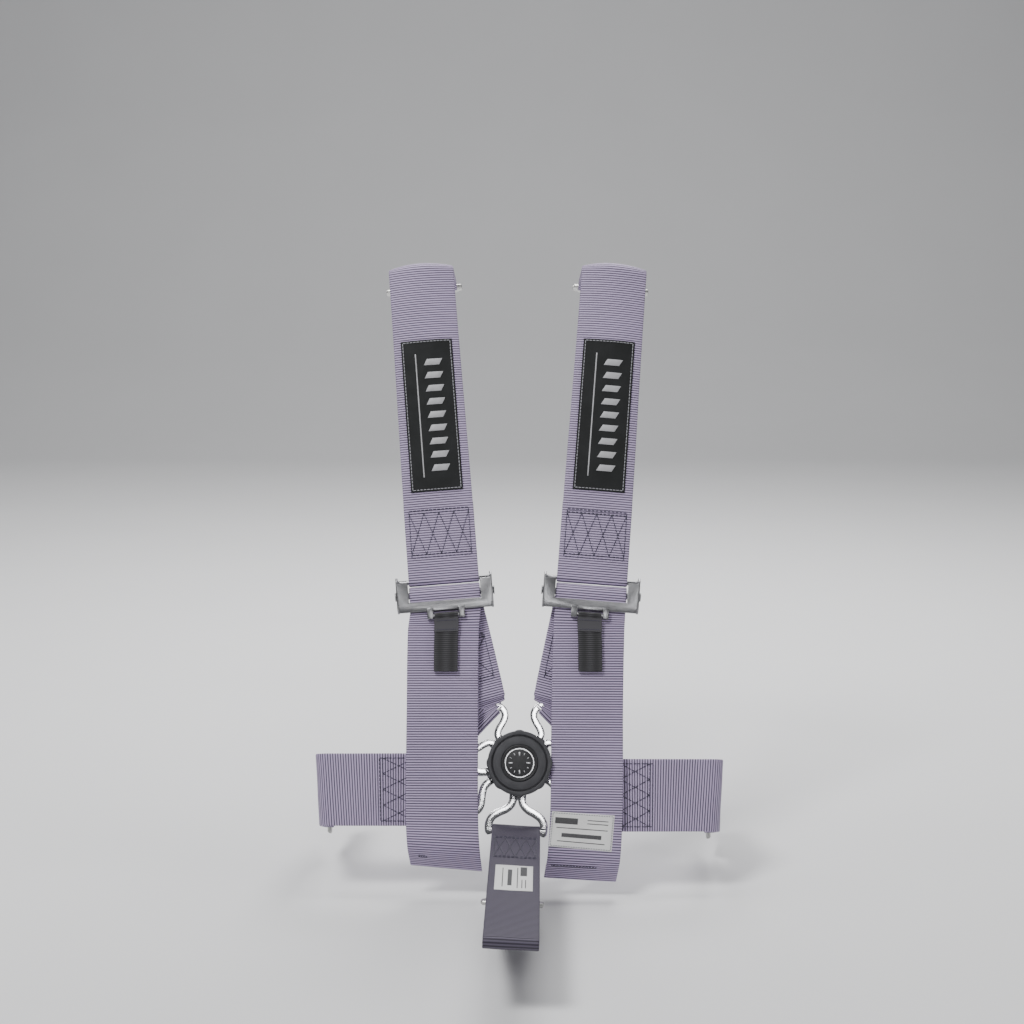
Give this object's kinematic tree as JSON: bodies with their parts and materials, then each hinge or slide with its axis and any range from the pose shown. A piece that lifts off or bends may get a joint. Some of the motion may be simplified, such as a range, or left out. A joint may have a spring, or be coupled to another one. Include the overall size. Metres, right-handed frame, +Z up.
{
  "type": "racing harness",
  "caption": "Five-point racing harness: two shoulder belts with tilt-lock adjusters and hanging tails, two lap belts and a crotch strap meeting in a rotary cam-lock buckle.",
  "frame": {"origin": "centre of the buckle's back face, where the buckle lies against the wearer", "axes": "+X to the right as seen from the front, +Z up; the wearer faces -Y, and the belt plane leans back 20 degrees from the vertical"},
  "size_m": [0.432, 0.6313, 0.6423],
  "materials": {
    "webbing": "ribbed polyester webbing",
    "tab_webbing": "black tubular webbing",
    "tongue_chrome": "polished chrome plate",
    "adjuster_steel": "satin zinc-nickel plate",
    "inner_steel": "turned steel",
    "knob_grey": "satin anodised grey",
    "badge_black": "moulded badge with a raised ring",
    "buckle_black": "black powder coat",
    "patch_rubber": "moulded rubber",
    "tag_cloth": "woven satin tag",
    "anchor_zinc": "zinc-plated steel"
  },
  "bodies": {
    "buckle": {"buckle_body": "buckle_black", "buckle_back_cover": "buckle_black", "buckle_rivets": "inner_steel", "spindle": "inner_steel", "fixed_tongue_rivet": "inner_steel", "return_spring": "inner_steel", "tongue_lap_left": "tongue_chrome", "lap_belt_left": "webbing"},
    "knob": {"release_knob": "knob_grey", "knob_badge": "badge_black", "cam_sleeve": "inner_steel"},
    "latch": {"latch_plate": "inner_steel", "latch_spring": "inner_steel"},
    "lap_right": {"tongue_lap_right": "tongue_chrome", "lap_belt_right": "webbing"},
    "crotch": {"tongue_crotch": "tongue_chrome", "crotch_strap": "webbing", "tag_crotch": "tag_cloth"},
    "plate_lap_left": {"anchor_lap_left": "anchor_zinc"},
    "plate_lap_right": {"anchor_lap_right": "anchor_zinc"},
    "plate_crotch": {"anchor_crotch": "anchor_zinc"},
    "shoulder_left": {"tongue_shoulder_left": "tongue_chrome", "shoulder_strap_left": "webbing"},
    "adjuster_left": {"adjuster_frame_left": "adjuster_steel", "cross_bar_left": "inner_steel", "tab_pin_left": "inner_steel"},
    "lock_left": {"slide_bar_left": "inner_steel"},
    "tab_left": {"pull_tab_left": "tab_webbing"},
    "upper_left": {"upper_belt_left": "webbing", "patch_left": "patch_rubber"},
    "plate_shoulder_left": {"anchor_shoulder_left": "anchor_zinc"},
    "shoulder_right": {"tongue_shoulder_right": "tongue_chrome", "shoulder_strap_right": "webbing", "tag_shoulder": "tag_cloth"},
    "adjuster_right": {"adjuster_frame_right": "adjuster_steel", "cross_bar_right": "inner_steel", "tab_pin_right": "inner_steel"},
    "lock_right": {"slide_bar_right": "inner_steel"},
    "tab_right": {"pull_tab_right": "tab_webbing"},
    "upper_right": {"upper_belt_right": "webbing", "patch_right": "patch_rubber"},
    "plate_shoulder_right": {"anchor_shoulder_right": "anchor_zinc"}
  },
  "joints": [
    {"name": "knob_turn", "type": "hinge", "parent": "buckle", "child": "knob", "pos_m": [0, 0, 0], "axis": [0, -0.9397, 0.342], "range_deg": [-45, 0], "stiffness_Nm_per_rad": 0.4, "springref_deg": -51.57},
    {"name": "latch_lift", "type": "slide", "parent": "buckle", "child": "latch", "axis": [0, -0.9397, 0.342], "range_m": [-0.0032, 0]},
    {"name": "tongue_lap_right_pull", "type": "slide", "parent": "buckle", "child": "lap_right", "axis": [0.9272, -0.1281, -0.352], "range_m": [0, 0.026]},
    {"name": "tongue_crotch_pull", "type": "slide", "parent": "buckle", "child": "crotch", "axis": [-0.0523, -0.3416, -0.9384], "range_m": [0, 0.026]},
    {"name": "tongue_shoulder_left_pull", "type": "slide", "parent": "buckle", "child": "shoulder_left", "axis": [-0.7193, 0.2376, 0.6528], "range_m": [0, 0.026]},
    {"name": "adjuster_left_tilt", "type": "hinge", "parent": "shoulder_left", "child": "adjuster_left", "pos_m": [-0.0805, 0.04759, 0.17636], "axis": [-0.9968, -0.0274, -0.0754], "range_deg": [0, 25]},
    {"name": "slide_bar_left_travel", "type": "slide", "parent": "adjuster_left", "child": "lock_left", "axis": [0.0802, -0.3409, -0.9367], "range_m": [0, 0.0016]},
    {"name": "pull_tab_left_lift", "type": "hinge", "parent": "adjuster_left", "child": "tab_left", "pos_m": [-0.07854, 0.03003, 0.15676], "axis": [-0.9968, -0.0274, -0.0754], "range_deg": [0, 100]},
    {"name": "upper_belt_left_swing", "type": "hinge", "parent": "adjuster_left", "child": "upper_left", "pos_m": [-0.0817, 0.05458, 0.18973], "axis": [-0.9968, -0.0274, -0.0754], "range_deg": [-25, 0]},
    {"name": "anchor_shoulder_left_swivel", "type": "hinge", "parent": "upper_left", "child": "plate_shoulder_left", "pos_m": [-0.11035, 0.25153, 0.49694], "axis": [-0.9968, -0.0274, -0.0754], "range_deg": [-25, 25]},
    {"name": "anchor_lap_left_swivel", "type": "hinge", "parent": "buckle", "child": "plate_lap_left", "pos_m": [-0.2112, 0.08098, -0.05821], "axis": [0, 0.342, 0.9397], "range_deg": [-25, 25]},
    {"name": "tongue_shoulder_right_pull", "type": "slide", "parent": "buckle", "child": "shoulder_right", "axis": [0.7193, 0.2376, 0.6528], "range_m": [0, 0.026]},
    {"name": "adjuster_right_tilt", "type": "hinge", "parent": "shoulder_right", "child": "adjuster_right", "pos_m": [0.0775, 0.04759, 0.17636], "axis": [-0.9968, 0.0274, 0.0754], "range_deg": [0, 25]},
    {"name": "slide_bar_right_travel", "type": "slide", "parent": "adjuster_right", "child": "lock_right", "axis": [-0.0802, -0.3409, -0.9367], "range_m": [0, 0.0016]},
    {"name": "pull_tab_right_lift", "type": "hinge", "parent": "adjuster_right", "child": "tab_right", "pos_m": [0.07554, 0.03003, 0.15676], "axis": [-0.9968, 0.0274, 0.0754], "range_deg": [0, 100]},
    {"name": "upper_belt_right_swing", "type": "hinge", "parent": "adjuster_right", "child": "upper_right", "pos_m": [0.0787, 0.05458, 0.18973], "axis": [-0.9968, 0.0274, 0.0754], "range_deg": [-25, 0]},
    {"name": "anchor_shoulder_right_swivel", "type": "hinge", "parent": "upper_right", "child": "plate_shoulder_right", "pos_m": [0.10735, 0.25153, 0.49694], "axis": [-0.9968, 0.0274, 0.0754], "range_deg": [-25, 25]},
    {"name": "anchor_lap_right_swivel", "type": "hinge", "parent": "lap_right", "child": "plate_lap_right", "pos_m": [0.2112, 0.07892, -0.06384], "axis": [0, 0.342, 0.9397], "range_deg": [-25, 25]},
    {"name": "anchor_crotch_swivel", "type": "hinge", "parent": "crotch", "child": "plate_crotch", "pos_m": [-0.00751, -0.14136, -0.10106], "axis": [0.9986, -0.0179, -0.0492], "range_deg": [-25, 25]}
  ],
  "couplings": [
    {"joint": "latch_lift", "follows": "knob_turn", "m_per_rad": 0.0040744},
    {"joint": "upper_belt_left_swing", "follows": "adjuster_left_tilt", "ratio": -1},
    {"joint": "upper_belt_right_swing", "follows": "adjuster_right_tilt", "ratio": -1}
  ]
}
